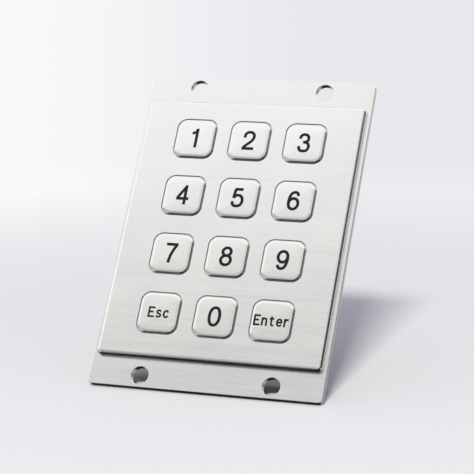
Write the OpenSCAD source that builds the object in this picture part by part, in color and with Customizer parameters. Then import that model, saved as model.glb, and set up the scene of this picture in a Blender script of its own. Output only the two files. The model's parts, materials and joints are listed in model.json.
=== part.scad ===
// Flush-mounted keypad access reader with twelve metal keys.
// Frame: +Z up along the plate, +X right, the keys face -Y. The origin is the centre of the
// mounting plate's rear seating face, so the plate lies in front of y = 0 and the rear housing
// goes into the wall behind it.

/* [Mounting plate] */
// Width of the mounting plate
plate_w = 78.2; // [77:0.2:100]
// Height of the mounting plate
plate_h = 111; // [109:0.5:140]
// Thickness of the mounting plate
plate_t = 2; // [2:0.1:4]
// Radius of the plate's outer corners
plate_corner_r = 1.5; // [0.6:0.1:4]
// Diameter of the four fixing holes
fixing_hole_d = 5.8; // [4.2:0.1:6]
// Distance between fixing holes across the plate
fixing_pitch_x = 44; // [20:1:60]
// Distance between fixing holes along the plate
fixing_pitch_z = 103; // [102:0.5:104]

/* [Front panel] */
// Width of the raised front panel
panel_w = 75.2; // [73:0.2:76]
// Height of the raised front panel
panel_h = 92; // [90:0.2:93]
// How far the raised panel stands in front of the plate
panel_t = 2; // [2:0.1:3]
// Thickness of the face that retains the keys
panel_face_t = 1.1; // [0.8:0.1:1.2]
// Radius of the panel's corners, seen from the front
panel_corner_r = 1.6; // [0.8:0.1:3]
// Rounding of the panel's left and right front edges
panel_side_edge_r = 1; // [0.5:0.1:1.4]
// Rounding of the panel's top and bottom front edges
panel_end_edge_r = 1.5; // [0.5:0.1:1.7]

/* [Keys] */
// Distance between key centres across the keypad
key_pitch_x = 19; // [18.6:0.1:19.4]
// Distance between key centres along the keypad
key_pitch_z = 20.8; // [20:0.1:21.2]
// Height of the key grid's centre above the plate's centre
grid_z = 0.5; // [0:0.1:0.8]
// Width of a key
key_w = 13.4; // [12:0.1:13.6]
// Height of a key
key_h = 13.7; // [12:0.1:14]
// Radius of a key's corners
key_corner_r = 3; // [2:0.1:4]
// Rounding of a key's front edges
key_edge_r = 0.9; // [0.4:0.1:1.4]
// Gap round each key
key_gap = 0.35; // [0.3:0.05:0.5]
// How far a key stands in front of the panel
key_proud = 0.6; // [0.6:0.1:2]
// Travel of a key
key_travel = 0.5; // [0.3:0.1:0.5]
// Width of the lip that keeps a key behind the panel
lip_w = 1.2; // [0.8:0.1:1.3]
// Thickness of the lip
lip_t = 0.8; // [0.6:0.05:0.9]

/* [Silicone mat] */
// Thickness of the mat's web
mat_t = 1; // [0.6:0.1:1.2]
// Radius of a dome's base
dome_base_r = 5; // [4.6:0.1:5.4]
// Radius of a dome's top
dome_top_r = 3; // [2.6:0.1:3.4]
// Radius of a contact pill
pill_r = 2.1; // [1.6:0.1:2.3]
// Thickness of a contact pill
pill_t = 0.5; // [0.3:0.1:0.6]

/* [Circuit board] */
// Width of the circuit board
board_w = 64.6; // [63.6:0.2:64.6]
// Height of the circuit board
board_h = 82.4; // [81:0.2:83]
// Thickness of the circuit board
board_t = 1.6; // [1.2:0.2:1.6]
// Gap between the seating face and the board, filled by the washers
board_gap = 0.8; // [0.7:0.1:0.9]

/* [Rear housing] */
// Width of the rear housing
housing_w = 68.8; // [68.8:0.2:69.2]
// Height of the rear housing
housing_h = 88; // [87.6:0.2:88.4]
// Depth of the rear housing behind the seating face
housing_d = 15; // [14.6:0.2:22]
// Wall thickness of the rear housing
housing_wall = 1.9; // [1.6:0.1:1.9]
// Radius of the housing's corners
housing_corner_r = 5; // [4:0.5:6]

/* [Connector] */
// Number of ways in the plug-in wiring connector
ways = 8; // [4:1:10]
// Pitch of the connector's pins
way_pitch = 3.81; // [3.5:0.01:3.81]

/* [Hidden] */
$fn = 64;
SLIVER = 0.02;

KEY_NAMES = ["1", "2", "3", "4", "5", "6", "7", "8", "9", "esc", "0", "enter"];
KEYS = [0:len(KEY_NAMES) - 1];
COLUMNS = 3;
ROWS = 4;

// Depths along Y, from the front to the back
plate_front = -plate_t;
panel_front = plate_front - panel_t;
lip_stop = panel_front + panel_face_t;
lip_front = lip_stop + 0.05;
lip_back = lip_front + lip_t;
key_front = panel_front - key_proud;
board_front = board_gap;
board_back = board_front + board_t;
mat_front = board_front - mat_t;
pad_t = 0.05;
pad_front = board_front - pad_t;
pill_back = pad_front - key_travel - SLIVER;
pill_front = pill_back - pill_t;
housing_floor = housing_d - housing_wall;

// Key openings and the pockets behind them
cutout_w = key_w + 2 * key_gap;
cutout_h = key_h + 2 * key_gap;
cutout_corner_r = key_corner_r + key_gap;
lip_size = [key_w + 2 * lip_w, key_h + 2 * lip_w];
pocket_play = 0.3;
plate_opening = [2 * key_pitch_x + lip_size.x + 0.6, 3 * key_pitch_z + lip_size.y + 2.3];
mat_size = [plate_opening.x - 1.6, plate_opening.y - 1.6];

// Stack of studs, washers, standoffs and nuts
stud_r = 1.25;
stud_clear_r = 1.45;
thread_r = stud_r + SLIVER;
stud_x = 29.4;
stud_z = 37;
stud_end = 7;
washer_r = 2.7;
hex_r = 2.5 / cos(30);
nut_t = 2;
CORNERS = [for (x = [-1, 1], z = [-1, 1]) [x * stud_x, z * stud_z]];
MIDDLES = [for (x = [-1, 1]) [x * stud_x, 0]];
STUDS = concat(CORNERS, MIDDLES);

// Housing screws and the bosses that their heads sink into
screw_head_r = 2.3;
screw_head_t = 1.5;
screw_seat = housing_d - 1.8;
screw_end = stud_end + 0.5;
boss_r = 2.9;
boss_front = housing_floor - 1.5;

// Seal and gasket grooves: centre line and width
panel_seal_size = [66, 86.6];
panel_seal_w = 1.4;
panel_seal_t = 0.8;
seat_gasket_size = [75, 91.6];
seat_gasket_w = 1.2;
seat_gasket_t = 1;
groove_corner_r = 3;

// Controller chip on the board's back
chip_size = 7;
chip_lift = 0.12;
chip_place = [0, 8];

// Wiring connector
connector_z = -27;
shroud_wall = 1.1;
shroud_front = board_back + 0.5;
shroud_back = housing_d - 0.4;
cavity_front = shroud_front + 2;
cavity_size = [ways * way_pitch + 0.3, 7.4];
shroud_size = [cavity_size.x + 2 * shroud_wall, cavity_size.y + 2 * shroud_wall];
pin_w = 1;
pin_tip = cavity_front + 5.6;
pin_z = connector_z - cavity_size.y / 2 + 1.6;
window_play = 0.6;

function key_x(i) = (i % COLUMNS - (COLUMNS - 1) / 2) * key_pitch_x;
function key_z(i) = grid_z + ((ROWS - 1) / 2 - floor(i / COLUMNS)) * key_pitch_z;

// ---- Helpers ----

// Draws a flat outline between two depths; the outline's x and y become X and Z
module slab(front, back) {
    translate([0, back, 0]) rotate([90, 0, 0]) linear_extrude(back - front) children();
}

module rounded_rect(w, h, r) {
    square([w - 2 * r, h], center = true);
    square([w, h - 2 * r], center = true);
    for (x = [-1, 1], z = [-1, 1]) translate([x * (w / 2 - r), z * (h / 2 - r)]) circle(r);
}

module rect_ring(size, w) {
    difference() {
        rounded_rect(size.x + w, size.y + w, groove_corner_r + w / 2);
        rounded_rect(size.x - w, size.y - w, groove_corner_r - w / 2);
    }
}

// Section of a block whose two front edges are rounded
module eased_section(w, front, back, r) {
    translate([-w / 2, front + r]) square([w, back - front - r]);
    translate([r - w / 2, front]) square([w - 2 * r, back - front]);
    for (x = [-1, 1]) translate([x * (w / 2 - r), front + r]) circle(r);
}

// Block with rounded corners and with its own rounding on the side and the end front edges
module eased_block(w, h, front, back, corner_r, side_r, end_r) {
    intersection() {
        slab(front, back) rounded_rect(w, h, corner_r);
        linear_extrude(h + 1, center = true) eased_section(w, front, back, side_r);
        rotate([0, 90, 0]) linear_extrude(w + 1, center = true) eased_section(h, front, back, end_r);
    }
}

// Round bar along Y between two depths
module rod(front, back, r) {
    slab(front, back) circle(r);
}

module at_studs(places) {
    for (p = places) translate([p.x, 0, p.y]) children();
}

module at_keys() {
    for (i = KEYS) translate([key_x(i), 0, key_z(i)]) children();
}

// ---- Plate and panel ----

module mounting_plate() {
    color("silver") difference() {
        eased_block(plate_w, plate_h, plate_front, 0, plate_corner_r, 0.4, 0.4);
        slab(plate_front - 1, 1) translate([0, grid_z]) rounded_rect(plate_opening.x, plate_opening.y, 3);
        for (x = [-1, 1], z = [-1, 1])
            translate([x * fixing_pitch_x / 2, 0, z * fixing_pitch_z / 2])
                rod(plate_front - 1, 1, fixing_hole_d / 2);
        at_studs(STUDS) rod(plate_front - 1, 1, stud_clear_r);
        slab(plate_front - 1, plate_front + panel_seal_t) rect_ring(panel_seal_size, panel_seal_w);
        slab(-seat_gasket_t, 1) rect_ring(seat_gasket_size, seat_gasket_w);
    }
}

module front_panel() {
    pocket_w = lip_size.x + 2 * pocket_play;
    pocket_h = lip_size.y + 2 * pocket_play;
    color("gainsboro") difference() {
        eased_block(panel_w, panel_h, panel_front, plate_front,
                    panel_corner_r, panel_side_edge_r, panel_end_edge_r);
        at_keys() {
            slab(panel_front - 1, plate_front + 1) rounded_rect(cutout_w, cutout_h, cutout_corner_r);
            slab(lip_stop, plate_front + 1) rounded_rect(pocket_w, pocket_h, 2);
        }
    }
}

module panel_seal() {
    color("dimgray") slab(plate_front, plate_front + panel_seal_t) rect_ring(panel_seal_size, panel_seal_w);
}

module seat_gasket() {
    color("dimgray") slab(-seat_gasket_t, 0) rect_ring(seat_gasket_size, seat_gasket_w);
}

// Studs welded to the back of the front panel, through the plate and the board
module panel_studs() {
    color("silver") at_studs(STUDS) rod(plate_front, stud_end, stud_r);
}

// ---- Keys ----

module keycap(i) {
    color("lightgray") translate([key_x(i), 0, key_z(i)]) {
        eased_block(key_w, key_h, key_front, lip_back, key_corner_r, key_edge_r, key_edge_r);
        slab(lip_front, lip_back) rounded_rect(lip_size.x, lip_size.y, 1.8);
    }
}

// Silicone dome that returns a key; its profile runs from the board to the lip
module dome(i) {
    base_h = mat_t;
    top_h = board_front - lip_back - SLIVER;
    core_h = board_front - pill_front;
    wall_r = dome_base_r - 0.7;
    shoulder_h = top_h - 0.7;
    roof_h = top_h - 0.9;
    color("lightslategray") translate([key_x(i), board_front, key_z(i)]) rotate([90, 0, 0])
        rotate_extrude() polygon([
            [wall_r, 0], [dome_base_r, 0], [dome_base_r, base_h], [dome_top_r, shoulder_h],
            [dome_top_r, top_h], [0, top_h], [0, core_h], [pill_r, core_h],
            [pill_r, roof_h], [dome_top_r - 0.6, roof_h], [wall_r, base_h - 0.1]
        ]);
}

module pill(i) {
    color("black") translate([key_x(i), 0, key_z(i)]) rod(pill_front, pill_back, pill_r);
}

module keypad_mat() {
    color("slategray") difference() {
        slab(mat_front, board_front) translate([0, grid_z]) rounded_rect(mat_size.x, mat_size.y, 2.4);
        at_keys() rod(mat_front - 1, board_front + 1, dome_base_r + SLIVER);
    }
}

// ---- Circuit board and what is on it ----

module circuit_board() {
    color("darkgreen") difference() {
        slab(board_front, board_back) rounded_rect(board_w, board_h, 2);
        at_studs(STUDS) rod(board_front - 1, board_back + 1, stud_clear_r);
    }
}

// One of the two interleaved combs under a key
module contact_comb(side) {
    finger = 0.5;
    finger_pitch = 0.9;
    pad_r = 2.7;
    intersection() {
        circle(pad_r);
        union() {
            translate([side * (pad_r - 0.3), 0]) square([0.6, 2 * pad_r], center = true);
            for (k = [-2:2]) if ((k % 2 == 0) == (side > 0))
                translate([side * 0.5, k * finger_pitch]) square([2 * pad_r - 1.4, finger], center = true);
        }
    }
}

module contact_pads() {
    color("goldenrod") at_keys() slab(pad_front, board_front) {
        contact_comb(-1);
        contact_comb(1);
    }
}

module controller_chip() {
    color("#202020") translate([chip_place.x, 0, chip_place.y]) difference() {
        slab(board_back + chip_lift, board_back + 1.1) rounded_rect(chip_size, chip_size, 0.3);
        translate([-2.4, 0, 2.4]) rod(board_back + 1, board_back + 2, 0.5);
    }
}

// Eight gull-wing leads on each side of the chip
module chip_leads() {
    lead_pitch = 0.8;
    lead_t = 0.15;
    knee = 0.5;
    color("silver") translate([chip_place.x, board_back, chip_place.y])
        for (turn = [0:90:270], k = [-3.5:3.5])
            rotate([0, turn, 0]) translate([k * lead_pitch - 0.15, 0, chip_size / 2])
                rotate([90, 0, 90]) linear_extrude(0.3) polygon([
                    [knee, 0], [knee, 0.5 - lead_t], [0, 0.5 - lead_t], [0, 0.5],
                    [knee + lead_t, 0.5], [knee + lead_t, lead_t], [1.1, lead_t], [1.1, 0]
                ]);
}

module voltage_regulator() {
    color("#202020") translate([-18, 0, -10]) {
        slab(board_back, board_back + 2.3) rounded_rect(6.6, 6.1, 0.3);
        translate([0, 0, 3.6]) slab(board_back, board_back + 0.5) rounded_rect(5.3, 1.6, 0.2);
        for (x = [-2.3, 2.3])
            translate([x, 0, -4]) slab(board_back, board_back + 0.5) square([0.8, 2.2], center = true);
    }
}

module capacitors() {
    can_r = 3.15;
    for (p = [[-8, -10], [18, -10], [-22, 24]]) translate([p.x, 0, p.y]) {
        color("silver") rod(board_back + 1, board_back + 6, can_r);
        color("#202020") slab(board_back, board_back + 1) rounded_rect(6.8, 6.8, 0.6);
    }
}

module resistors() {
    for (row = [0:1], k = [0:4]) translate([-9 + 4.5 * k, 0, 19 + 4 * row]) {
        color("#202020") slab(board_back, board_back + 0.5) square([1.2, 1.25], center = true);
        color("silver") for (x = [-0.8, 0.8])
            translate([x, 0, 0]) slab(board_back, board_back + 0.55) square([0.4, 1.25], center = true);
    }
}

module crystal() {
    color("silver") translate([10, 0, 8]) rotate([0, 90, 0])
        slab(board_back, board_back + 3.5) rounded_rect(11, 4.6, 2.2);
}

// Round sounder with a sound hole
module buzzer() {
    color("#181818") translate([19, board_back, 25]) rotate([-90, 0, 0]) rotate_extrude()
        polygon([[0, 0], [6, 0], [6, 6], [5.4, 6.6], [1.2, 6.6], [1.2, 4.6], [0, 4.6]]);
}

// ---- Wiring connector: only the socket; its plug and cable are separate items ----

module connector_shroud() {
    color("seagreen") difference() {
        slab(shroud_front, shroud_back) translate([0, connector_z])
            rounded_rect(shroud_size.x, shroud_size.y, 0.5);
        slab(cavity_front, shroud_back + 1) translate([0, connector_z])
            square(cavity_size, center = true);
        for (k = [0:ways - 1]) translate([(k - (ways - 1) / 2) * way_pitch, 0, pin_z])
            slab(shroud_front - 1, cavity_front + 1) square(pin_w, center = true);
    }
}

module connector_pins() {
    foot_l = 3.4;
    color("gold") for (k = [0:ways - 1]) translate([(k - (ways - 1) / 2) * way_pitch, 0, pin_z]) {
        slab(board_back, pin_tip) square(pin_w, center = true);
        translate([0, 0, -foot_l / 2]) slab(board_back, board_back + 0.4)
            square([pin_w, foot_l], center = true);
    }
}

// ---- Fasteners ----

module board_washers() {
    color("ivory") at_studs(STUDS) difference() {
        rod(0, board_front, washer_r);
        rod(-1, board_front + 1, thread_r);
    }
}

module hex_bar(front, back) {
    difference() {
        slab(front, back) circle(hex_r, $fn = 6);
        rod(front - 1, back + 1, thread_r);
    }
}

module hex_standoffs() {
    color("gold") at_studs(CORNERS) hex_bar(board_back, boss_front);
}

module stud_nuts() {
    color("silver") at_studs(MIDDLES) hex_bar(board_back, board_back + nut_t);
}

module housing_screws() {
    color("silver") at_studs(CORNERS) difference() {
        union() {
            rod(screw_end, screw_seat, stud_r);
            translate([0, screw_seat, 0]) rotate([-90, 0, 0]) rotate_extrude() polygon([
                [0, 0], [screw_head_r, 0], [screw_head_r, 0.7 * screw_head_t],
                [0.7 * screw_head_r, screw_head_t], [0, screw_head_t]
            ]);
        }
        for (turn = [0, 90]) rotate([0, turn, 0])
            slab(screw_seat + 0.6, screw_seat + 3) square([2.6, 0.55], center = true);
    }
}

// ---- Rear housing ----

module rear_housing() {
    inner_w = housing_w - 2 * housing_wall;
    inner_h = housing_h - 2 * housing_wall;
    color("#282828") difference() {
        union() {
            difference() {
                slab(0, housing_d) rounded_rect(housing_w, housing_h, housing_corner_r);
                slab(-1, housing_floor) rounded_rect(inner_w, inner_h, housing_corner_r - housing_wall);
            }
            at_studs(CORNERS) rod(boss_front, housing_floor, boss_r);
        }
        slab(housing_floor - 1, housing_d + 1) translate([0, connector_z])
            square([shroud_size.x + 2 * window_play, shroud_size.y + 2 * window_play], center = true);
        at_studs(CORNERS) {
            rod(boss_front - 1, housing_d + 1, stud_clear_r);
            rod(screw_seat, housing_d + 1, screw_head_r + 0.4);
        }
    }
}

mounting_plate();
front_panel();
panel_seal();
seat_gasket();
panel_studs();
keypad_mat();
circuit_board();
contact_pads();
controller_chip();
chip_leads();
voltage_regulator();
capacitors();
resistors();
crystal();
buzzer();
connector_shroud();
connector_pins();
board_washers();
hex_standoffs();
stud_nuts();
rear_housing();
housing_screws();
for (i = KEYS) {
    keycap(i);
    dome(i);
    pill(i);
}
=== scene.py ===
import json
import math

import bmesh
import bpy
from mathutils import Matrix, Vector
from mathutils.geometry import delaunay_2d_cdt, tessellate_polygon


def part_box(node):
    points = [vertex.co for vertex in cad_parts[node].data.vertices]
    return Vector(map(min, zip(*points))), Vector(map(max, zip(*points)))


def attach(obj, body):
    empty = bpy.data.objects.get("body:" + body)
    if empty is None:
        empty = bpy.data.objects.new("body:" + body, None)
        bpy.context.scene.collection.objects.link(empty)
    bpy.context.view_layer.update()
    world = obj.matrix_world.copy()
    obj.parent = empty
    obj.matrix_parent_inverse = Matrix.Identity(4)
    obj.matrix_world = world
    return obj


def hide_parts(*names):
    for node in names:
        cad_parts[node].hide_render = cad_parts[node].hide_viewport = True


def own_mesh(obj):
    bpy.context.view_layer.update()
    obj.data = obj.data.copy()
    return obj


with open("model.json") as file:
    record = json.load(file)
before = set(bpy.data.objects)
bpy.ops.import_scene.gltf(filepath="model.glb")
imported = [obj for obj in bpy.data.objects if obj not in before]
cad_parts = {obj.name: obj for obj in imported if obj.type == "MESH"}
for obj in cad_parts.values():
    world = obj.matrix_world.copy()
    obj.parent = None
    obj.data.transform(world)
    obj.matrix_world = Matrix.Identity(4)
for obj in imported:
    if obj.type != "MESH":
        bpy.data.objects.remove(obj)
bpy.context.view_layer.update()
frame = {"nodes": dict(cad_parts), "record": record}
MM = 0.001
KEY_NAMES = ["1", "2", "3", "4", "5", "6", "7", "8", "9", "esc", "0", "enter"]

# ---- Boxes of the CAD nodes, each (lowest corner, highest corner) in metres ----

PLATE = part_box("mounting_plate")
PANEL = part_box("front_panel")
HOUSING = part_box("rear_housing")
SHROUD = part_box("connector_shroud")
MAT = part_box("keypad_mat")
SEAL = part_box("panel_seal")
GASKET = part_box("seat_gasket")
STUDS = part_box("panel_studs")
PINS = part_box("connector_pins")

# ---- Sizes in metres that a box can't give ----

PLATE_CORNER = 1.5 * MM
PLATE_EASE = 0.2 * MM
PLATE_FOOT_EASE = 0.2 * MM
HOLE_R = 2.9 * MM
HOLE_PITCH = (44 * MM, 103 * MM)
HOLE_EASE = 0.25 * MM
STUD_R = 1.25 * MM
STUD_HOLE_R = 1.45 * MM
STUD_HOLE_EASE = 0.1 * MM
OPENING_PLAY = (0.8 * MM, 0.7 * MM)
OPENING_CORNER = 3 * MM
GROOVE_CORNER = 3 * MM
SEAL_WIDTH = 1.4 * MM
GASKET_WIDTH = 1.2 * MM
SEAL_EASE = 0.25 * MM

PANEL_CORNER = 1.6 * MM
PANEL_SIDE_EASE = 1.0 * MM
PANEL_END_EASE = 1.5 * MM
PANEL_FOOT_EASE = 0.15 * MM
# Thickness of the panel in front of the pockets that hold the key lips
FACE_T = 1.1 * MM
POCKET_PLAY = 0.3 * MM
POCKET_CORNER = 2 * MM
CUT_EASE = 0.14 * MM

KEY_SIZE = (13.4 * MM, 13.7 * MM)
KEY_CORNER = 3 * MM
KEY_GAP = 0.35 * MM
# A key's front edge is rounded over this much of its face, and this deep
KEY_EASE = 1.05 * MM
KEY_EASE_DEPTH = 0.58 * MM
# How far the crown of a key stands out, and where its rings lie, in shares of the way to the middle
KEY_CROWN = 0.05 * MM
CROWN_SHARES = (0.12, 0.26, 0.45, 0.7)
CROWN_MIN_CORNER = 0.5 * MM
LIP_T = 0.8 * MM
LIP_CORNER = 1.8 * MM
LIP_EASE = 0.12 * MM

# ---- Mesh building ----

CORNER_STEPS = 10
CIRCLE_STEPS = 40
MIN_RADIUS = 0.05 * MM
MERGE_DISTANCE = 1e-7
SHARP_ANGLE = math.radians(35)
# The grain map follows X and Z, and is skewed a little by depth so that side walls don't collapse in it
GRAIN_SCALE = 10
GRAIN_SKEW = (0.31, 0.29)


def outline(centre, size, radius, steps=CORNER_STEPS):
    """Points of a rounded rectangle, as (x, z, share): share goes from 0 on its sides to 1 on its ends."""
    rx, rz = radius if isinstance(radius, tuple) else (radius, radius)
    points = []
    for corner in range(4):
        sign_x = 1 if corner in (0, 3) else -1
        sign_z = 1 if corner in (0, 1) else -1
        for step in range(steps + 1):
            angle = (corner + step / steps) * math.pi / 2
            x = centre[0] + sign_x * (size[0] / 2 - rx) + rx * math.cos(angle)
            z = centre[1] + sign_z * (size[1] / 2 - rz) + rz * math.sin(angle)
            points.append((x, z, math.sin(angle) ** 2))
    return points


def circle(centre, radius, steps=CIRCLE_STEPS):
    """Points of a circle, in the form that outline gives."""
    turns = [2 * math.pi * k / steps for k in range(steps)]
    return [(centre[0] + radius * math.cos(t), centre[1] + radius * math.sin(t), 0) for t in turns]


class Shell:
    """Collects rings of points and the faces between them, then makes one closed mesh."""

    def __init__(self):
        self.points = []
        self.faces = []

    def ring(self, shape, y, y_end=None):
        """Adds a ring of points at depth y, or between y on its sides and y_end on its ends."""
        start = len(self.points)
        y_end = y if y_end is None else y_end
        self.points += [(x, y + (y_end - y) * share, z) for x, z, share in shape]
        return list(range(start, len(self.points)))

    def skin(self, *rings):
        """Joins each ring to the next."""
        for a, b in zip(rings, rings[1:]):
            count = len(a)
            self.faces += [(a[i], a[(i + 1) % count], b[(i + 1) % count], b[i]) for i in range(count)]

    def cap(self, outer, *holes):
        """Closes a loop with a flat face, apart from the holes."""
        loops = [[Vector((self.points[i][0], self.points[i][2], 0)) for i in loop]
                 for loop in (outer, *holes)]
        flat = [i for loop in (outer, *holes) for i in loop]
        self.faces += [tuple(flat[k] for k in triangle) for triangle in tessellate_polygon(loops)]

    def piece(self, name, material, body, replaced):
        """Makes what was collected into a finished piece that stands for the replaced nodes."""
        mesh = bpy.data.meshes.new(name)
        mesh.from_pydata(self.points, [], self.faces)
        return finish_piece(name, mesh, material, body, replaced)


def finish_piece(name, mesh, material, body, replaced=()):
    """Orients and smooths a mesh, gives it grain coordinates and a material, and rides it on its body."""
    work = bmesh.new()
    work.from_mesh(mesh)
    bmesh.ops.remove_doubles(work, verts=work.verts, dist=MERGE_DISTANCE)
    bmesh.ops.recalc_face_normals(work, faces=work.faces)
    layer = work.loops.layers.uv.new("grain")
    for face in work.faces:
        face.smooth = True
        for loop in face.loops:
            x, y, z = loop.vert.co
            loop[layer].uv = ((x + GRAIN_SKEW[0] * y) * GRAIN_SCALE, (z + GRAIN_SKEW[1] * y) * GRAIN_SCALE)
    work.to_mesh(mesh)
    work.free()
    mesh.set_sharp_from_angle(angle=SHARP_ANGLE)
    obj = bpy.data.objects.new(name, mesh)
    bpy.context.scene.collection.objects.link(obj)
    mesh.materials.append(material)
    normals = obj.modifiers.new("normals", "WEIGHTED_NORMAL")
    normals.keep_sharp = True
    normals.weight = 100
    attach(obj, body)
    if replaced:
        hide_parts(*replaced)
    return obj


def middle(box, axis):
    return (box[0][axis] + box[1][axis]) / 2


def extent(box, axis):
    return box[1][axis] - box[0][axis]


def face_centre(box):
    """Centre of a box seen from the front: (x, z)."""
    return (middle(box, 0), middle(box, 2))


def face_size(box):
    """Width and height of a box seen from the front."""
    return (extent(box, 0), extent(box, 2))


def grown(size, extra):
    """A width and height, each side moved out by extra."""
    return (size[0] + 2 * extra, size[1] + 2 * extra)


KEY_BOXES = {name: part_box("key_" + name) for name in KEY_NAMES}
KEY_CENTRES = {name: face_centre(box) for name, box in KEY_BOXES.items()}
STUD_PLACES = [(x * (STUDS[1][0] - STUD_R), z * (STUDS[1][2] - STUD_R))
               for x in (-1, 1) for z in (-1, 0, 1)]
SCREW_PLACES = [place for place in STUD_PLACES if place[1]]


def quarter(steps):
    """Inset and depth shares of a rounded edge, from the wall to the face."""
    turns = [math.pi / 2 * k / steps for k in range(steps + 1)]
    return [(1 - math.cos(t), 1 - math.sin(t)) for t in turns]


# ---- Materials ----


def add_node(tree, kind, links=(), **values):
    """Adds a node: values go to its settings or else its sockets, links to its sockets."""
    node = tree.nodes.new(kind)
    for name, value in values.items():
        if hasattr(node, name):
            setattr(node, name, value)
        else:
            node.inputs[name.replace("_", " ")].default_value = value
    for socket, source in dict(links).items():
        tree.links.new(source, node.inputs[socket])
    return node


def add_range(tree, source, start, end, low=0.0, high=1.0, curve="LINEAR"):
    """Maps a value from start ... end to low ... high, with no overshoot."""
    node = add_node(tree, "ShaderNodeMapRange", {"Value": source}, interpolation_type=curve, clamp=True)
    for socket, value in (("From Min", start), ("From Max", end), ("To Min", low), ("To Max", high)):
        node.inputs[socket].default_value = value
    return node.outputs["Result"]


class Paint:
    """One material's node tree round a Principled BSDF."""

    def __init__(self, name, **fixed):
        self.material = bpy.data.materials.new(name)
        self.material.use_nodes = True
        self.tree = self.material.node_tree
        self.shader = self.tree.nodes["Principled BSDF"]
        for socket, value in fixed.items():
            self.shader.inputs[socket.replace("_", " ")].default_value = value
        self.place = self.tree.nodes.new("ShaderNodeTexCoord")

    def put(self, kind, links=(), **values):
        return add_node(self.tree, kind, links, **values)

    def noise(self, scale, detail=3.0, rough=0.55):
        """Noise in object space; scale is in cycles per metre along X, Y and Z."""
        mapping = self.put("ShaderNodeMapping", {"Vector": self.place.outputs["Object"]}, Scale=scale)
        return self.put("ShaderNodeTexNoise", {"Vector": mapping.outputs["Vector"]}, Scale=1.0,
                        Detail=detail, Roughness=rough).outputs["Fac"]

    def cells(self, scale):
        """Cell pattern in object space, in cells per metre."""
        mapping = self.put("ShaderNodeMapping", {"Vector": self.place.outputs["Object"]},
                           Scale=(scale, scale, scale))
        return self.put("ShaderNodeTexVoronoi", {"Vector": mapping.outputs["Vector"]},
                        Scale=1.0).outputs["Distance"]

    def spread(self, source, low, high, start=0.3, end=0.7):
        """Maps the middle of a pattern's values, start ... end, to low ... high."""
        return add_range(self.tree, source, start, end, low, high)

    def math(self, operation, a, b=0):
        """Result of a sum on two values, each a number or another node's output."""
        node = self.put("ShaderNodeMath", operation=operation)
        for socket, value in zip(node.inputs, (a, b)):
            if isinstance(value, (int, float)):
                socket.default_value = value
            else:
                self.tree.links.new(value, socket)
        return node.outputs["Value"]

    def blend(self, fac, dark, light):
        """Colour between dark and light."""
        node = self.put("ShaderNodeMix", data_type="RGBA")
        self.tree.links.new(fac, node.inputs["Factor"])
        node.inputs[6].default_value = (*dark, 1)
        node.inputs[7].default_value = (*light, 1)
        return node.outputs[2]

    def use(self, socket, source):
        """Drives a socket of the shader."""
        self.tree.links.new(source, self.shader.inputs[socket])

    def bump(self, height, depth, strength=1.0):
        """Surface relief, its depth in metres."""
        node = self.put("ShaderNodeBump", {"Height": height}, Strength=strength, Distance=depth)
        self.tree.links.new(node.outputs["Normal"], self.shader.inputs["Normal"])


def brushed_steel(name, dark, light, rough, grain_depth, painted_wall_shade):
    """Steel with a horizontal brushed grain. Its rounded edges are worn a little smoother. Its walls, and its
    rounded edges where they turn away from the front, are darkened with painted shade, down to the given
    share on the walls."""
    paint = Paint(name, Metallic=1.0, Anisotropic=0.45)
    fine = paint.noise((70, 2600, 2600), 4.0, 0.6)
    broad = paint.noise((14, 420, 420), 3.0, 0.55)
    cloud = paint.noise((45, 45, 60), 3.0, 0.5)
    grain = paint.math("ADD", paint.math("MULTIPLY", fine, 0.55), paint.math("MULTIPLY", broad, 0.45))
    tone = paint.math("ADD", paint.math("MULTIPLY", grain, 0.7), paint.math("MULTIPLY", cloud, 0.3))
    split = paint.put("ShaderNodeSeparateXYZ", {"Vector": paint.place.outputs["Normal"]})
    facing = paint.math("ABSOLUTE", split.outputs["Y"])
    brushed = paint.blend(paint.spread(tone, 0, 1, 0.3, 0.65), dark, light)
    # painted shade: colour darkened where the surface faces sideways, down to the given share on the walls
    shade = paint.spread(facing, painted_wall_shade, 1.0, 0.1, 0.75)
    paint.use("Base Color", paint.put("ShaderNodeVectorMath", {0: brushed, 1: shade},
                                      operation="MULTIPLY").outputs["Vector"])
    satin = paint.spread(grain, rough - 0.06, rough + 0.08)
    paint.use("Roughness", paint.math("MULTIPLY", satin, paint.spread(facing, 0.78, 1.0, 0.2, 0.95)))
    tangent = paint.put("ShaderNodeTangent", direction_type="UV_MAP", uv_map="grain")
    paint.use("Tangent", tangent.outputs["Tangent"])
    paint.bump(grain, grain_depth)
    return paint.material


def plain_metal(name, dark, light, rough):
    """Bare or plated metal with a fine surface and a slight tarnish."""
    paint = Paint(name, Metallic=1.0)
    fine = paint.noise((900, 900, 900), 4.0)
    cloud = paint.noise((160, 160, 160), 3.0)
    paint.use("Base Color", paint.blend(paint.spread(cloud, 0, 1), dark, light))
    paint.use("Roughness", paint.spread(fine, rough - 0.07, rough + 0.1))
    paint.bump(fine, 0.01 * MM, 0.6)
    return paint.material


def moulded(name, dark, light, rough, cell, depth=0.02 * MM):
    """Moulded plastic or rubber: a spark-eroded skin with slight clouding in colour and gloss."""
    paint = Paint(name)
    skin = paint.cells(cell)
    cloud = paint.noise((90, 90, 90), 4.0)
    paint.use("Base Color", paint.blend(paint.spread(cloud, 0, 1), dark, light))
    paint.use("Roughness", paint.spread(paint.noise((400, 400, 400)), rough - 0.07, rough + 0.08))
    paint.bump(skin, depth, 0.7)
    return paint.material


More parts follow.
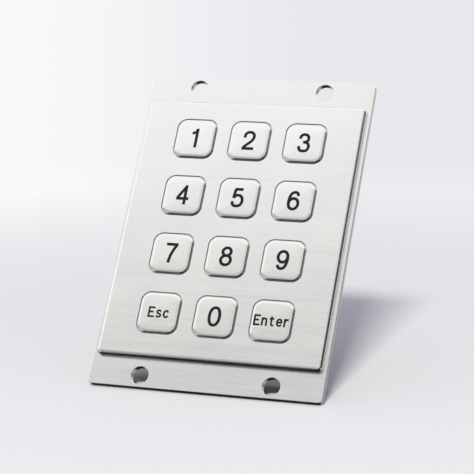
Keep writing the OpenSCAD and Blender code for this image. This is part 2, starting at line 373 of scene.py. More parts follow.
def laminate(name):
    """Green board: solder mask over woven glass, with shallow track relief."""
    paint = Paint(name, Coat_Weight=0.3, Coat_Roughness=0.2)
    weave = paint.put("ShaderNodeTexChecker", {"Vector": paint.place.outputs["Object"]}, Scale=1800.0)
    track = paint.noise((500, 40, 60), 1.0)
    lines = paint.spread(track, 0, 1, 0.49, 0.52)
    paint.use("Base Color", paint.blend(lines, (0.012, 0.10, 0.035), (0.02, 0.17, 0.06)))
    paint.use("Roughness", paint.spread(paint.noise((300, 300, 300)), 0.3, 0.45))
    glass = paint.math("MULTIPLY", weave.outputs["Fac"], 0.2)
    relief = paint.math("ADD", paint.math("MULTIPLY", lines, 0.8), glass)
    paint.bump(relief, 0.03 * MM, 0.6)
    return paint.material


# Last number of each brushed steel: the share of painted shade on its walls and sideways-facing edges
FINISHES = {
    "plate_steel": brushed_steel("brushed_plate", (0.74, 0.745, 0.75), (0.87, 0.87, 0.87), 0.25,
                                 0.005 * MM, 0.7),
    "panel_steel": brushed_steel("brushed_panel", (0.76, 0.76, 0.765), (0.89, 0.89, 0.885), 0.25,
                                 0.005 * MM, 0.9),
    "key_steel": brushed_steel("brushed_key", (0.79, 0.79, 0.795), (0.87, 0.87, 0.86), 0.23,
                               0.004 * MM, 0.6),
    "zinc_steel": plain_metal("zinc_plate", (0.52, 0.54, 0.55), (0.70, 0.71, 0.72), 0.32),
    "brass": plain_metal("turned_brass", (0.62, 0.43, 0.17), (0.78, 0.58, 0.26), 0.28),
    "gold_plate": plain_metal("gold_flash", (0.80, 0.58, 0.22), (0.95, 0.73, 0.33), 0.22),
    "tinned_metal": plain_metal("tinned", (0.60, 0.60, 0.60), (0.78, 0.78, 0.79), 0.3),
    "can_aluminium": plain_metal("can_shell", (0.66, 0.67, 0.69), (0.82, 0.83, 0.85), 0.25),
    "silicone": moulded("silicone_skin", (0.19, 0.21, 0.24), (0.26, 0.28, 0.31), 0.55, 3000, 0.01 * MM),
    "seal_rubber": moulded("rubber_skin", (0.03, 0.03, 0.032), (0.055, 0.055, 0.055), 0.7, 3200),
    "carbon": moulded("carbon_ink", (0.015, 0.015, 0.016), (0.03, 0.03, 0.03), 0.6, 5000, 0.01 * MM),
    "board_laminate": laminate("solder_mask"),
    "chip_epoxy": moulded("chip_body", (0.018, 0.018, 0.02), (0.035, 0.035, 0.037), 0.5, 5000, 0.01 * MM),
    "connector_plastic": moulded("connector_body", (0.03, 0.22, 0.12), (0.045, 0.30, 0.17), 0.42, 2600),
    "nylon": moulded("nylon_body", (0.66, 0.64, 0.58), (0.78, 0.76, 0.70), 0.45, 2600),
    "housing_plastic": moulded("housing_skin", (0.040, 0.041, 0.043), (0.047, 0.048, 0.050), 0.48, 1500,
                               0.035 * MM),
}


def legend_enamel():
    """Near-black enamel with light wear in its colour and gloss."""
    paint = Paint("legend_enamel", Specular_IOR_Level=0.25)
    worn = paint.noise((900, 900, 900), 4.0)
    paint.use("Base Color", paint.blend(paint.spread(worn, 0, 1), (0.004, 0.004, 0.0045),
                                        (0.011, 0.011, 0.012)))
    paint.use("Roughness", paint.spread(worn, 0.42, 0.62))
    paint.bump(worn, 0.005 * MM)
    return paint.material


LEGEND = legend_enamel()

# ---- Front panel: rounded front edges, twelve eased openings, pockets for the key lips ----


def eased_outer(shell, box, corner, side_ease, end_ease, foot_ease, steps=8):
    """Skins a block from its back edge to its front face, whose side and end edges differ in rounding;
    returns the loops round its back and its face."""
    centre, size = face_centre(box), face_size(box)
    front, back = box[0][1], box[1][1]
    rings = [shell.ring(outline(centre, grown(size, -foot_ease), corner - foot_ease), back),
             shell.ring(outline(centre, size, corner), back - foot_ease)]
    for inset, depth in quarter(steps):
        dx, dz = side_ease * inset, end_ease * inset
        radius = (max(corner - dx, MIN_RADIUS), max(corner - dz, MIN_RADIUS))
        shape = outline(centre, (size[0] - 2 * dx, size[1] - 2 * dz), radius)
        rings.append(shell.ring(shape, front + side_ease * depth, front + end_ease * depth))
    shell.skin(*rings)
    return rings[0], rings[-1]


def make_panel():
    """Raised panel whose openings widen behind its face into pockets for the key lips."""
    shell = Shell()
    front, back = PANEL[0][1], PANEL[1][1]
    lip_stop = front + FACE_T
    outer_back, outer_face = eased_outer(shell, PANEL, PANEL_CORNER, PANEL_SIDE_EASE, PANEL_END_EASE,
                                         PANEL_FOOT_EASE)
    faces, pockets = [], []
    for name in KEY_NAMES:
        centre = KEY_CENTRES[name]
        rings = []
        for inset, depth in reversed(quarter(4)):
            gap = KEY_GAP + CUT_EASE * inset
            shape = outline(centre, grown(KEY_SIZE, gap), KEY_CORNER + gap)
            rings.append(shell.ring(shape, front + CUT_EASE * depth))
        shape = outline(centre, grown(KEY_SIZE, KEY_GAP), KEY_CORNER + KEY_GAP)
        rings.append(shell.ring(shape, lip_stop))
        pocket = outline(centre, grown(face_size(KEY_BOXES[name]), POCKET_PLAY), POCKET_CORNER)
        rings += [shell.ring(pocket, lip_stop), shell.ring(pocket, back)]
        shell.skin(*rings)
        faces.append(rings[0])
        pockets.append(rings[-1])
    shell.cap(outer_face, *faces)
    shell.cap(outer_back, *pockets)
    shell.piece("panel_face", FINISHES["panel_steel"], "chassis", ["front_panel"])


# ---- Mounting plate: eased edges, fixing holes, stud holes and the two grooves ----


def groove_outlines(box, width):
    """Outer and inner outline of a seal's groove, from the seal's box."""
    centre, size = face_centre(box), face_size(box)
    corner = GROOVE_CORNER + width / 2
    return outline(centre, size, corner), outline(centre, grown(size, -width), corner - width)


def eased_hole(shell, centre, radius, front, back, ease, steps=4):
    """Round hole through a plate, with both rims eased; returns its front and back loops."""
    rims = [(radius + ease * inset, ease * depth) for inset, depth in quarter(steps)]
    rings = [shell.ring(circle(centre, r), front + d) for r, d in reversed(rims)]
    rings += [shell.ring(circle(centre, r), back - d) for r, d in rims]
    shell.skin(*rings)
    return rings[0], rings[-1]


def make_plate():
    """Mounting plate with its four fixing holes, six stud holes, the mat's opening and two grooves."""
    shell = Shell()
    front, back = PLATE[0][1], PLATE[1][1]
    outer_back, outer_face = eased_outer(shell, PLATE, PLATE_CORNER, PLATE_EASE, PLATE_EASE,
                                         PLATE_FOOT_EASE, 5)
    corners = [(x * HOLE_PITCH[0] / 2, z * HOLE_PITCH[1] / 2) for x in (-1, 1) for z in (-1, 1)]
    fixing = [eased_hole(shell, place, HOLE_R, front, back, HOLE_EASE) for place in corners]
    studs = [eased_hole(shell, place, STUD_HOLE_R, front, back, STUD_HOLE_EASE, 2) for place in STUD_PLACES]
    opening_size = [side + 2 * play for side, play in zip(face_size(MAT), OPENING_PLAY)]
    opening = outline((0, middle(MAT, 2)), opening_size, OPENING_CORNER)
    opening_rings = [shell.ring(opening, front), shell.ring(opening, back)]
    shell.skin(*opening_rings)
    grooves = []
    for box, width, mouth, floor in ((SEAL, SEAL_WIDTH, front, SEAL[1][1]),
                                     (GASKET, GASKET_WIDTH, back, GASKET[0][1])):
        outer, inner = groove_outlines(box, width)
        rings = [shell.ring(outer, mouth), shell.ring(outer, floor), shell.ring(inner, floor),
                 shell.ring(inner, mouth)]
        shell.skin(*rings)
        grooves.append((rings[0], rings[-1]))
    for side, outer in ((0, outer_face), (1, outer_back)):
        groove_outer, groove_inner = grooves[side]
        shell.cap(outer, groove_outer, *[hole[side] for hole in fixing])
        shell.cap(groove_inner, opening_rings[side], *[hole[side] for hole in studs])
    shell.piece("plate_body", FINISHES["plate_steel"], "chassis", ["mounting_plate"])


# ---- Keys ----


def make_key(name):
    """Slightly domed key with rounded edges, on its retaining lip."""
    shell = Shell()
    centre, box = KEY_CENTRES[name], KEY_BOXES[name]
    front, lip_back = box[0][1], box[1][1]
    lip_front = lip_back - LIP_T
    lip = face_size(box)
    back_shape = outline(centre, grown(lip, -LIP_EASE), LIP_CORNER - LIP_EASE)
    lip_shape = outline(centre, lip, LIP_CORNER)
    body_shape = outline(centre, KEY_SIZE, KEY_CORNER)
    rings = [shell.ring(back_shape, lip_back), shell.ring(lip_shape, lip_back - LIP_EASE),
             shell.ring(lip_shape, lip_front + LIP_EASE), shell.ring(back_shape, lip_front),
             shell.ring(body_shape, lip_front)]
    for inset, depth in quarter(9):
        d = KEY_EASE * inset
        shape = outline(centre, grown(KEY_SIZE, -d), KEY_CORNER - d)
        rings.append(shell.ring(shape, front + KEY_CROWN + (KEY_EASE_DEPTH - KEY_CROWN) * depth))
    for share in CROWN_SHARES:
        d = KEY_EASE + share * (KEY_SIZE[0] / 2 - KEY_EASE)
        shape = outline(centre, grown(KEY_SIZE, -d), max(KEY_CORNER - d, CROWN_MIN_CORNER))
        rings.append(shell.ring(shape, front + KEY_CROWN * (1 - share) ** 2))
    shell.skin(*rings)
    shell.cap(rings[0])
    shell.cap(rings[-1])
    shell.piece("keycap_" + name, FINISHES["key_steel"], f"key_{name}_body", ["key_" + name])


# ---- Legends: strokes of the script's own design, as thin enamel inlays ----

# In metres: how far an inlay stands out of its key, and how deep it sits
LEGEND_PROUD = 0.02 * MM
LEGEND_SUNK = 0.12 * MM
# In millimetres: widths of the strokes, and sizes between the middle lines of the strokes
DIGIT_STROKE = 1.0
DIGIT_BOX = (3.4, 5.95)
LETTER_STROKE = 0.62
LETTER_GAP = 0.42
CAP_H = 3.08
LETTER_X = 2.2
# How far a free stroke end runs on, so that it ends level with the outside of the strokes that it meets
DIGIT_END = DIGIT_STROKE / 2 / DIGIT_BOX[1]
LETTER_END = LETTER_STROKE / 2
# Least cosine that a stroke's outer corner is sharpened by, and the tolerance of the flat shape
MITRE_LIMIT = 0.6
FLAT_TOLERANCE = 1e-4


def arc(cx, cy, rx, ry, start, end, power=2.0, steps=26):
    """Points along part of a superellipse, angles in degrees."""
    points = []
    for k in range(steps + 1):
        t = math.radians(start + (end - start) * k / steps)
        c, s = math.cos(t), math.sin(t)
        points.append((cx + rx * math.copysign(abs(c) ** (2 / power), c),
                       cy + ry * math.copysign(abs(s) ** (2 / power), s)))
    return points


def loop_strokes(cx, cy, rx, ry, power=2.0):
    """Closed loop, as two arcs that overlap at its sides."""
    return [arc(cx, cy, rx, ry, -5, 185, power), arc(cx, cy, rx, ry, 175, 365, power)]


def smooth(points, steps=6):
    """Catmull-Rom curve through the given points."""
    ends = [tuple(2 * a - b for a, b in zip(points[0], points[1]))]
    ends += points + [tuple(2 * a - b for a, b in zip(points[-1], points[-2]))]
    curve = []
    for p0, p1, p2, p3 in zip(ends, ends[1:], ends[2:], ends[3:]):
        for k in range(steps):
            t = k / steps
            curve.append(tuple(0.5 * (2 * b + (c - a) * t + (2 * a - 5 * b + 4 * c - d) * t * t
                                      + (3 * b - a - 3 * c + d) * t ** 3)
                               for a, b, c, d in zip(p0, p1, p2, p3)))
    return curve + [points[-1]]


# Strokes of the digits, in shares of their box
SIX = loop_strokes(0.51, 0.315, 0.47, 0.315) + [smooth(
    [(0.93, 0.79), (0.80, 0.95), (0.55, 1.0), (0.27, 0.93), (0.10, 0.74), (0.035, 0.50), (0.04, 0.31)])]
DIGITS = {
    "0": loop_strokes(0.5, 0.5, 0.5, 0.5, 2.25),
    "1": [[(0.66, -DIGIT_END), (0.66, 1 + DIGIT_END)],
          smooth([(0.16, 0.80), (0.40, 0.825), (0.57, 0.90), (0.66, 1.03)])],
    "2": [smooth([(0.03, 0.66), (0.08, 0.86), (0.27, 0.98), (0.50, 1.0), (0.78, 0.96), (0.95, 0.82),
                  (0.95, 0.65), (0.78, 0.47), (0.45, 0.29), (0.14, 0.13), (0.03, -0.02)]),
          [(-0.11, 0), (1.08, 0)]],
    "3": [smooth([(0.04, 0.74), (0.12, 0.91), (0.30, 0.99), (0.50, 1.0), (0.75, 0.95), (0.88, 0.82),
                  (0.86, 0.66), (0.68, 0.56), (0.38, 0.54)]),
          smooth([(0.38, 0.54), (0.74, 0.51), (0.95, 0.38), (0.97, 0.20), (0.80, 0.04), (0.50, 0.0),
                  (0.22, 0.03), (0.06, 0.14), (0.0, 0.29)])],
    "4": [[(0.73, 1.0), (-0.02, 0.31)], [(-0.13, 0.27), (1.12, 0.27)],
          [(0.73, -DIGIT_END), (0.73, 1 + DIGIT_END)]],
    "5": [[(0.94, 1.0), (0.10, 1.0)], [(0.19, 1.0), (0.08, 0.47)],
          smooth([(0.08, 0.47), (0.26, 0.61), (0.50, 0.65), (0.80, 0.59), (0.97, 0.42), (0.97, 0.22),
                  (0.80, 0.05), (0.50, 0.0), (0.20, 0.03), (0.05, 0.14), (0.0, 0.27)])],
    "6": SIX,
    "7": [[(-0.08, 1.0), (1.09, 1.0)],
          smooth([(0.98, 0.98), (0.72, 0.70), (0.50, 0.36), (0.36, -DIGIT_END)])],
    "8": loop_strokes(0.5, 0.77, 0.41, 0.23) + loop_strokes(0.5, 0.275, 0.49, 0.275),
    "9": [[(1 - x, 1 - y) for x, y in stroke] for stroke in SIX],
}
# Letter: its width and strokes in millimetres
LETTERS = {
    "E": (1.6, [[(0, -LETTER_END), (0, CAP_H + LETTER_END)], [(0, 0), (1.6 + LETTER_END, 0)],
                [(0, CAP_H), (1.6 + LETTER_END, CAP_H)], [(0, CAP_H * 0.52), (1.5, CAP_H * 0.52)]]),
    "s": (1.42, [smooth([(1.34, 1.74), (1.05, 2.11), (0.7, 2.2), (0.3, 2.08), (0.12, 1.70), (0.32, 1.32),
                         (0.74, 1.12), (1.2, 0.92), (1.40, 0.54), (1.14, 0.11), (0.7, 0), (0.28, 0.09),
                         (0.02, 0.44)])]),
    "c": (1.42, [smooth([(1.40, 1.62), (1.12, 2.07), (0.72, 2.2), (0.24, 1.92), (0.0, 1.1), (0.24, 0.28),
                         (0.72, 0), (1.12, 0.11), (1.42, 0.56)])]),
    "n": (1.35, [[(0, -LETTER_END), (0, LETTER_X + LETTER_END)],
                 smooth([(0, 1.45), (0.25, 1.98), (0.72, 2.2), (1.18, 1.98), (1.35, 1.40)])
                 + [(1.35, -LETTER_END)]]),
    "t": (1.45, [[(0.60, 3.0), (0.60, 0.62)] + smooth([(0.62, 0.40), (0.80, 0.07), (1.1, 0.0), (1.45, 0.05)]),
                 [(-0.1, LETTER_X), (1.45, LETTER_X)]]),
    "e": (1.45, [[(0.0, 1.12), (1.45 + 0.2, 1.12)],
                 smooth([(1.44, 1.12), (1.24, 1.9), (0.74, 2.2), (0.22, 1.92), (0.0, 1.1), (0.22, 0.28),
                         (0.76, 0), (1.16, 0.10), (1.44, 0.46)])]),
    "r": (1.15, [[(0, -LETTER_END), (0, LETTER_X + LETTER_END)],
                 smooth([(0, 1.30), (0.26, 1.90), (0.70, 2.2), (1.2, 2.14)])]),
}


def ribbon(points, half):
    """Outline of a stroke of constant width along a line of points."""
    left, right = [], []
    for k, point in enumerate(points):
        before = Vector(points[max(k - 1, 0)])
        after = Vector(points[min(k + 1, len(points) - 1)])
        here = Vector(point)
        a = (here - before).normalized() if k else (after - here).normalized()
        b = (after - here).normalized() if k < len(points) - 1 else a
        normal = Vector((-(a.y + b.y), a.x + b.x)).normalized()
        reach = half / max(normal.dot(Vector((-a.y, a.x))), MITRE_LIMIT)
        left.append(here + normal * reach)
        right.append(here - normal * reach)
    return left + right[::-1]


def inside(point, shape):
    """Whether a point is inside a closed outline, by its winding number."""
    winding = 0
    for a, b in zip(shape, shape[1:] + shape[:1]):
        side = (b.x - a.x) * (point.y - a.y) - (point.x - a.x) * (b.y - a.y)
        if a.y <= point.y < b.y and side > 0:
            winding += 1
        elif b.y <= point.y < a.y and side < 0:
            winding -= 1
    return winding != 0


def legend_strokes(name):
    """Strokes in millimetres about the key's centre, and their width."""
    if name in DIGITS:
        width, height = DIGIT_BOX
        strokes = [[((x - 0.5) * width, (y - 0.5) * height) for x, y in stroke] for stroke in DIGITS[name]]
        return strokes, DIGIT_STROKE
    word = name.capitalize()
    total = sum(LETTERS[letter][0] + LETTER_STROKE for letter in word) + LETTER_GAP * (len(word) - 1)
    pen = -total / 2 + LETTER_STROKE / 2
    strokes = []
    for letter in word:
        width, shapes = LETTERS[letter]
        strokes += [[(x + pen, y - CAP_H / 2) for x, y in shape] for shape in shapes]
        pen += width + LETTER_STROKE + LETTER_GAP
    return strokes, LETTER_STROKE


def make_legend(name):
    """Inlay of a key's legend: its strokes merged into one flat shape, then given thickness."""
    strokes, width = legend_strokes(name)
    centre = KEY_CENTRES[name]
    front = KEY_BOXES[name][0][1]
    points, faces = [], []
    for stroke in strokes:
        shape = ribbon(stroke, width / 2)
        faces.append(list(range(len(points), len(points) + len(shape))))
        points += shape
    flat, _, triangles, _, _, _ = delaunay_2d_cdt(points, [], faces, 0, FLAT_TOLERANCE)
    shapes = [[points[i] for i in face] for face in faces]
    kept = [t for t in triangles
            if any(inside((flat[t[0]] + flat[t[1]] + flat[t[2]]) / 3, shape) for shape in shapes)]
    count = len(flat)
    coords = [(centre[0] + p.x * MM, front - LEGEND_PROUD, centre[1] + p.y * MM) for p in flat]
    coords += [(x, front + LEGEND_SUNK, z) for x, _, z in coords]
    edges = dict.fromkeys(edge for triangle in kept for edge in zip(triangle, triangle[1:] + triangle[:1]))
    walls = [(b, a, a + count, b + count) for a, b in edges if (b, a) not in edges]
    mesh = bpy.data.meshes.new("legend_" + name)
    back = [tuple(i + count for i in reversed(t)) for t in kept]
    mesh.from_pydata(coords, [], [tuple(t) for t in kept] + back + walls)
    work = bmesh.new()
    work.from_mesh(mesh)
    bmesh.ops.delete(work, geom=[v for v in work.verts if not v.link_faces], context="VERTS")
    work.to_mesh(mesh)
    work.free()
    finish_piece("legend_" + name, mesh, LEGEND, f"key_{name}_body")


# ---- Behind the plate: housing, wiring socket, seals, mat and domes ----

HOUSING_CORNER = 5 * MM
HOUSING_MIN_CORNER = 1 * MM
HOUSING_WALL = 1.9 * MM
HOUSING_FLOOR = 2 * MM
HOUSING_EASE = 1.2 * MM
HOUSING_RIM_EASE = 0.1 * MM
WINDOW_PLAY = 0.6 * MM
WINDOW_CORNER = 0.5 * MM
WINDOW_EASE = 0.4 * MM
BOSS_R = 2.9 * MM
BOSS_H = 1.5 * MM
BOSS_EASE = 0.2 * MM
RECESS_R = 2.7 * MM
RECESS_DEPTH = 1.8 * MM
RECESS_EASE = 0.3 * MM
LABEL_SIZE = (44 * MM, 24 * MM)
LABEL_Z = 14 * MM
LABEL_CORNER = 2 * MM
LABEL_DEPTH = 0.25 * MM
# Front edge and parting groove of the housing: depth behind its front, and inset, in millimetres
PARTING = [(0.0, 0.15), (0.15, 0.0), (1.1, 0.0), (1.25, 0.2), (1.6, 0.2), (1.75, 0.0)]
SOCKET_WAYS = 8
SOCKET_WALL = 1.1 * MM
SOCKET_FLOOR = 2 * MM
SOCKET_CORNER = 0.5 * MM
PIN_WIDTH = 1 * MM
MAT_CORNER = 2.4 * MM
MAT_EASE = 0.3 * MM
DOME_PLAY = 0.02 * MM
DOME_HOLE_EASE = 0.12 * MM
DOME_STEPS = 32


def make_housing():
    """Housing shell with its parting groove, socket window, label recess and screw bosses."""
    shell = Shell()
    front, back = HOUSING[0][1], HOUSING[1][1]
    floor = back - HOUSING_FLOOR
    centre, size = (0, middle(HOUSING, 2)), face_size(HOUSING)

    def wall(y, inset):
        corner = max(HOUSING_CORNER - inset, HOUSING_MIN_CORNER)
        return shell.ring(outline(centre, grown(size, -inset), corner), y)

    outer = [wall(front + y * MM, inset * MM) for y, inset in PARTING]
    outer += [wall(back - HOUSING_EASE * depth, HOUSING_EASE * inset) for inset, depth in quarter(8)]
    inner = [wall(front, HOUSING_WALL - HOUSING_RIM_EASE), wall(front + HOUSING_RIM_EASE, HOUSING_WALL),
             wall(floor, HOUSING_WALL)]
    shell.skin(*outer)
    shell.skin(*inner)
    shell.skin(outer[0], inner[0])

    def window_ring(y, out):
        shape = outline(face_centre(SHROUD), grown(face_size(SHROUD), WINDOW_PLAY + out), WINDOW_CORNER + out)
        return shell.ring(shape, y)

    window = [window_ring(back - WINDOW_EASE * depth, WINDOW_EASE * inset)
              for inset, depth in reversed(quarter(4))]
    window.append(window_ring(floor, 0))
    shell.skin(*window)
    label = [shell.ring(outline((0, LABEL_Z), grown(LABEL_SIZE, out), LABEL_CORNER), y)
             for out, y in ((LABEL_DEPTH, back), (0, back - LABEL_DEPTH))]
    shell.skin(*label)
    shell.cap(label[-1])
    recesses, bosses = [], []
    for spot in SCREW_PLACES:
        rim = [shell.ring(circle(spot, RECESS_R + RECESS_EASE * inset), back - RECESS_EASE * depth)
               for inset, depth in reversed(quarter(4))]
        seat, boss_end = back - RECESS_DEPTH, floor - BOSS_H
        rim += [shell.ring(circle(spot, radius), y)
                for radius, y in ((RECESS_R, seat), (STUD_HOLE_R, seat), (STUD_HOLE_R, boss_end),
                                  (BOSS_R - BOSS_EASE, boss_end), (BOSS_R, boss_end + BOSS_EASE),
                                  (BOSS_R, floor))]
        shell.skin(*rim)
        recesses.append(rim[0])
        bosses.append(rim[-1])
    shell.cap(outer[-1], window[0], label[0], *recesses)
    shell.cap(inner[-1], window[-1], *bosses)
    shell.piece("housing_shell", FINISHES["housing_plastic"], "chassis", ["rear_housing"])


def make_shroud():
    """Wiring socket: eased body, chamfered mouth and square pin holes."""
    shell = Shell()
    front, back = SHROUD[0][1], SHROUD[1][1]
    centre, size = face_centre(SHROUD), face_size(SHROUD)
    ease, chamfer = 0.2 * MM, 0.3 * MM
    floor = front + SOCKET_FLOOR
    rims = [(front, -ease), (front + ease, 0), (back - ease, 0), (back, -ease),
            (back, chamfer - SOCKET_WALL), (back - chamfer, -SOCKET_WALL), (floor, -SOCKET_WALL)]
    rings = [shell.ring(outline(centre, grown(size, out), SOCKET_CORNER + max(out, -chamfer), 4), y)
             for y, out in rims]
    shell.skin(*rings)
    half = PIN_WIDTH / 2
    pitch = (extent(PINS, 0) - PIN_WIDTH) / (SOCKET_WAYS - 1)
    pin_z = PINS[1][2] - half
    holes = []
    for way in range(SOCKET_WAYS):
        x = PINS[0][0] + half + way * pitch
        square = [(x + a * half, pin_z + b * half, 0) for a, b in ((1, 1), (-1, 1), (-1, -1), (1, -1))]
        holes.append((shell.ring(square, front), shell.ring(square, floor)))
        shell.skin(*holes[-1])
    shell.cap(rings[0], *[hole[0] for hole in holes])
    shell.cap(rings[-1], *[hole[1] for hole in holes])
    shell.piece("socket_body", FINISHES["connector_plastic"], "chassis",
                ["connector_shroud"])


def make_seal(name, box, width, node):
    """Seal ring with rounded lips along both of its faces."""
    shell = Shell()
    front, back = box[0][1], box[1][1]
    centre, size = face_centre(box), face_size(box)
    ease = SEAL_EASE

    def loop(out, y):
        return shell.ring(outline(centre, grown(size, out), GROOVE_CORNER + width / 2 + out), y)

    rings = [loop(-ease, front), loop(0, front + ease), loop(0, back - ease), loop(-ease, back),
             loop(ease - width, back), loop(-width, back - ease), loop(-width, front + ease),
             loop(ease - width, front)]
    shell.skin(*rings, rings[0])
    shell.piece(name, FINISHES["seal_rubber"], "chassis", [node])


def make_mat():
    """Web of the silicone mat, with a hole for each dome."""
    shell = Shell()
    front, back = MAT[0][1], MAT[1][1]
    centre, size = face_centre(MAT), face_size(MAT)
    rims = [(back, 0), (front + MAT_EASE, 0), (front + MAT_EASE / 3, -MAT_EASE / 3), (front, -MAT_EASE)]
    rings = [shell.ring(outline(centre, grown(size, out), MAT_CORNER + out), y) for y, out in rims]
    shell.skin(*rings)
    holes = []
    for name in KEY_NAMES:
        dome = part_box("dome_" + name)
        hole_r = extent(dome, 0) / 2 + DOME_PLAY
        holes.append(eased_hole(shell, KEY_CENTRES[name], hole_r, front, back, DOME_HOLE_EASE, 3))
    shell.cap(rings[-1], *[hole[0] for hole in holes])
    shell.cap(rings[0], *[hole[1] for hole in holes])
    shell.piece("mat_web", FINISHES["silicone"], "chassis", ["keypad_mat"])


def make_dome(name):
    """Silicone dome that buckles under its key, turned from a rounded profile.

    The profile's points are (radius, height off the board) in millimetres: over the outside from the foot to
    the middle of the top, then back along the underside, round the pill.
    """
    shell = Shell()
    centre = KEY_CENTRES[name]
    dome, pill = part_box("dome_" + name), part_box("pill_" + name)
    board = dome[1][1]
    top = (board - dome[0][1]) / MM
    core = (board - pill[0][1]) / MM
    base_r = extent(dome, 0) / 2 / MM
    profile = [(4.3, 0), (base_r - 0.15, 0), (base_r, 0.15), (base_r, 0.9), (base_r - 0.1, 1.05),
               (base_r - 0.6, 1.3), (3.5, 1.75), (3.12, top - 0.82), (3.0, top - 0.6), (3.0, top - 0.15),
               (2.85, top), (1.2, top), (0.9, top - 0.05), (0.02, top - 0.05)]
    under = [(0.02, core), (1.95, core), (2.1, core + 0.15), (2.15, top - 1.0), (2.25, top - 0.9),
             (2.45, top - 0.92), (4.1, 1.0), (4.3, 0.8)]
    rings = [shell.ring(circle(centre, r * MM, DOME_STEPS), board - h * MM) for r, h in profile + under]
    shell.skin(*rings, rings[0])
    dome_piece = shell.piece("dome_skin_" + name, FINISHES["silicone"], "chassis",
                             ["dome_" + name])
    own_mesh(dome_piece)


make_housing()
make_shroud()
make_seal("panel_seal_ring", SEAL, SEAL_WIDTH, "panel_seal")
make_seal("wall_gasket_ring", GASKET, GASKET_WIDTH, "seat_gasket")
make_mat()
make_panel()
make_plate()
for key_name in KEY_NAMES:
    make_dome(key_name)
    make_key(key_name)
    make_legend(key_name)

# ---- CAD nodes that stay: each gets the finish of its slot ----

for part in frame["record"]["subparts"]:
    node = frame["nodes"][part["node"]]
    node.data.materials.clear()
    node.data.materials.append(FINISHES[part["material_slot"]])

# ---- Camera: place and axes from a fit to the grid of keys ----

RIGHT = Vector((0.94589, 0.27095, 0.17854))
UP = Vector((-0.05815, -0.39978, 0.91477))
AHEAD = Vector((-0.31924, 0.87565, 0.36239))
STAND = Vector((0.19855, -0.54274, -0.22567))
LENS_MM = 144.711
camera_data = bpy.data.cameras.new("camera")
camera_data.lens = LENS_MM
camera_data.sensor_width = 36
camera_data.clip_start = 0.01
camera_data.clip_end = 20
camera = bpy.data.objects.new("camera", camera_data)
camera.matrix_world = Matrix((
    (RIGHT.x, UP.x, -AHEAD.x, STAND.x), (RIGHT.y, UP.y, -AHEAD.y, STAND.y),
    (RIGHT.z, UP.z, -AHEAD.z, STAND.z), (0, 0, 0, 1)))
bpy.context.scene.collection.objects.link(camera)
bpy.context.scene.camera = camera

# ---- Floor, lights and surroundings ----

# The photo shows the object leaning back; it stays upright here, so the floor leans instead
LEAN = math.radians(33.4)
FLOOR_UP = Vector((0, -math.sin(LEAN), math.cos(LEAN)))
FLOOR_TOUCH = Vector((0, PLATE[1][1], PLATE[0][2]))
FLOOR_R = 1.6
FLOOR_COLOUR = (0.85, 0.85, 0.865)
# Distances over which the floor fades into the backdrop
FLOOR_FADE = (0.12, 0.55)


def floor_finish():
    """Matt finish that fades out with distance and is clear from below."""
    paint = Paint("studio_floor", Base_Color=(*FLOOR_COLOUR, 1), Roughness=0.9)
    far = paint.put("ShaderNodeVectorMath", {0: paint.place.outputs["Object"]}, operation="LENGTH")
    fade = add_range(paint.tree, far.outputs["Value"], *FLOOR_FADE, curve="SMOOTHSTEP")
    geometry = paint.put("ShaderNodeNewGeometry")
    unseen = paint.math("MAXIMUM", geometry.outputs["Backfacing"], fade)
    clear = paint.put("ShaderNodeBsdfTransparent")
    mix = paint.put("ShaderNodeMixShader", {"Fac": unseen, 1: paint.shader.outputs["BSDF"],
                                            2: clear.outputs["BSDF"]})
    paint.tree.links.new(mix.outputs["Shader"], paint.tree.nodes["Material Output"].inputs["Surface"])
    return paint.material


def make_floor():
    """Pale floor under the plate's lower edge; it isn't mirrored in the steel."""
    mesh = bpy.data.meshes.new("floor")
    work = bmesh.new()
    bmesh.ops.create_circle(work, cap_ends=True, segments=96, radius=FLOOR_R)
    work.to_mesh(mesh)
    work.free()
    mesh.materials.append(floor_finish())
    floor = bpy.data.objects.new("floor", mesh)
    turn = Vector((0, 0, 1)).rotation_difference(FLOOR_UP).to_matrix().to_4x4()
    floor.matrix_world = Matrix.Translation(FLOOR_TOUCH) @ turn
    floor.visible_glossy = False
    bpy.context.scene.collection.objects.link(floor)


make_floor()

# Main light of the steel: brightness along this direction, as a ramp over this span of it
SKY_ALONG = (-0.33, 0.0, 1.0)
SKY_SPAN = (0.0, 0.708)
SKY_STRENGTH = 1.36
SKY_STOPS = [
    (0.0, (0.012, 0.012, 0.013)), (0.12, (0.026, 0.026, 0.027)), (0.19, (0.07, 0.068, 0.07)),
    (0.28, (0.19, 0.182, 0.182)), (0.43, (0.37, 0.359, 0.345)), (0.59, (0.565, 0.554, 0.532)),
    (0.66, (0.695, 0.688, 0.664)), (0.76, (0.91, 0.91, 0.91)), (0.88, (0.86, 0.86, 0.86)),
    (1.0, (0.78, 0.78, 0.78))]
# Weak light from behind: its brightness, and the spans of Y and Z over which it comes up
BACK_GLOW = 0.20
GLOW_SPAN_Y = (0.2, 1.0)
GLOW_SPAN_Z = (-0.25, 0.2)
# Further soft lights of the studio: direction, cosines of the outer and inner edge, brightness
SKY_LOBES = [
    ((0.0, -1.0, -0.03), 0.80, 0.975, 0.50),
    ((0.34, -0.87, 0.35), 0.955, 0.99, 0.70),
    ((-0.74, -0.55, -0.38), 0.88, 0.96, 0.62),
    ((0.97, -0.10, -0.20), 0.92, 0.98, 0.50),
    ((0.72, 0.66, -0.20), 0.80, 0.97, 0.55)]
# Even bluish light that fills the shadows of the floor and the plastic parts
FILL = (0.31, 0.315, 0.385)
# Backdrop: its colours, and the span of X over which one goes over into the other
BACKDROP_SPAN = (-0.43, -0.27)
BACKDROP_LEFT = (0.94, 0.94, 0.955)
BACKDROP_RIGHT = (0.81, 0.80, 0.845)


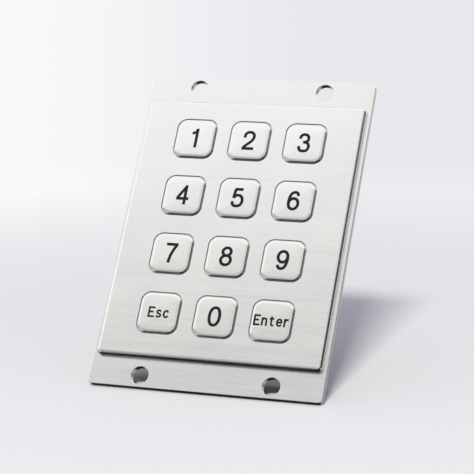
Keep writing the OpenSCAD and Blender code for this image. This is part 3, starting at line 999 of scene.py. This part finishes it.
def make_world():
    """Studio surroundings, different for each kind of ray.

    Glossy rays meet broad soft light from the upper left that falls off to the lower right, a weak light
    from behind and the soft lobes. Diffuse rays meet the even fill, and the camera a pale graded backdrop.
    """
    world = bpy.data.worlds.new("studio")
    bpy.context.scene.world = world
    world.use_nodes = True
    tree = world.node_tree
    tree.nodes.clear()
    direction = add_node(tree, "ShaderNodeTexCoord").outputs["Generated"]
    axes = add_node(tree, "ShaderNodeSeparateXYZ", {"Vector": direction}).outputs

    def along(axis):
        node = add_node(tree, "ShaderNodeVectorMath", {0: direction}, operation="DOT_PRODUCT")
        node.inputs[1].default_value = axis
        return node.outputs["Value"]

    def join(operation, a, b):
        return add_node(tree, "ShaderNodeVectorMath", {0: a, 1: b}, operation=operation).outputs["Vector"]

    def background(links=(), **values):
        return add_node(tree, "ShaderNodeBackground", links, **values).outputs["Background"]

    def choose(ray, other, matching):
        return add_node(tree, "ShaderNodeMixShader", {"Fac": ray, 1: other, 2: matching}).outputs["Shader"]

    ramp = add_node(tree, "ShaderNodeValToRGB", {"Fac": add_range(tree, along(SKY_ALONG), *SKY_SPAN)})
    stops = ramp.color_ramp.elements
    while len(stops) < len(SKY_STOPS):
        stops.new(0.5)
    for stop, (position, colour) in zip(stops, SKY_STOPS):
        stop.position = position
        stop.color = (*colour, 1)
    behind = add_range(tree, axes["Y"], *GLOW_SPAN_Y, 0, BACK_GLOW, "SMOOTHSTEP")
    above = add_range(tree, axes["Z"], *GLOW_SPAN_Z, curve="SMOOTHSTEP")
    glow = add_node(tree, "ShaderNodeMath", {0: behind, 1: above}, operation="MULTIPLY").outputs["Value"]
    light = join("ADD", ramp.outputs["Color"], glow)
    for axis, outer, inner, strength in SKY_LOBES:
        near = along(Vector(axis).normalized())
        light = join("MAXIMUM", light, add_range(tree, near, outer, inner, 0, strength, "SMOOTHSTEP"))
    across = add_range(tree, axes["X"], *BACKDROP_SPAN, curve="SMOOTHSTEP")
    backdrop = add_node(tree, "ShaderNodeMix", {"Factor": across}, data_type="RGBA")
    backdrop.inputs["A"].default_value = (*BACKDROP_LEFT, 1)
    backdrop.inputs["B"].default_value = (*BACKDROP_RIGHT, 1)
    path = add_node(tree, "ShaderNodeLightPath").outputs
    lit = background({"Color": light}, Strength=SKY_STRENGTH)
    world_light = choose(path["Is Diffuse Ray"], lit, background(Color=(*FILL, 1)))
    seen = choose(path["Is Camera Ray"], world_light, background({"Color": backdrop.outputs["Result"]}))
    add_node(tree, "ShaderNodeOutputWorld", {"Surface": seen})


make_world()

LIGHT_PLACE = Vector((0.37, -2.80, 0.47))
LIGHT_SIZE = (0.60, 0.36)
LIGHT_POWER = 73
LIGHT_COLOUR = (1.0, 0.965, 0.90)


def make_key_light():
    """Warm soft light from the front, aimed at the object's middle, that casts its shadow on the floor."""
    light = bpy.data.lights.new("key_light", "AREA")
    light.shape = "RECTANGLE"
    light.size, light.size_y = LIGHT_SIZE
    light.energy = LIGHT_POWER
    light.color = LIGHT_COLOUR
    lamp = bpy.data.objects.new("key_light", light)
    lamp.location = LIGHT_PLACE
    lamp.rotation_euler = (-LIGHT_PLACE).to_track_quat("-Z", "Y").to_euler()
    lamp.visible_camera = False
    lamp.visible_glossy = False
    bpy.context.scene.collection.objects.link(lamp)


make_key_light()

bpy.context.scene.view_settings.view_transform = "Standard"
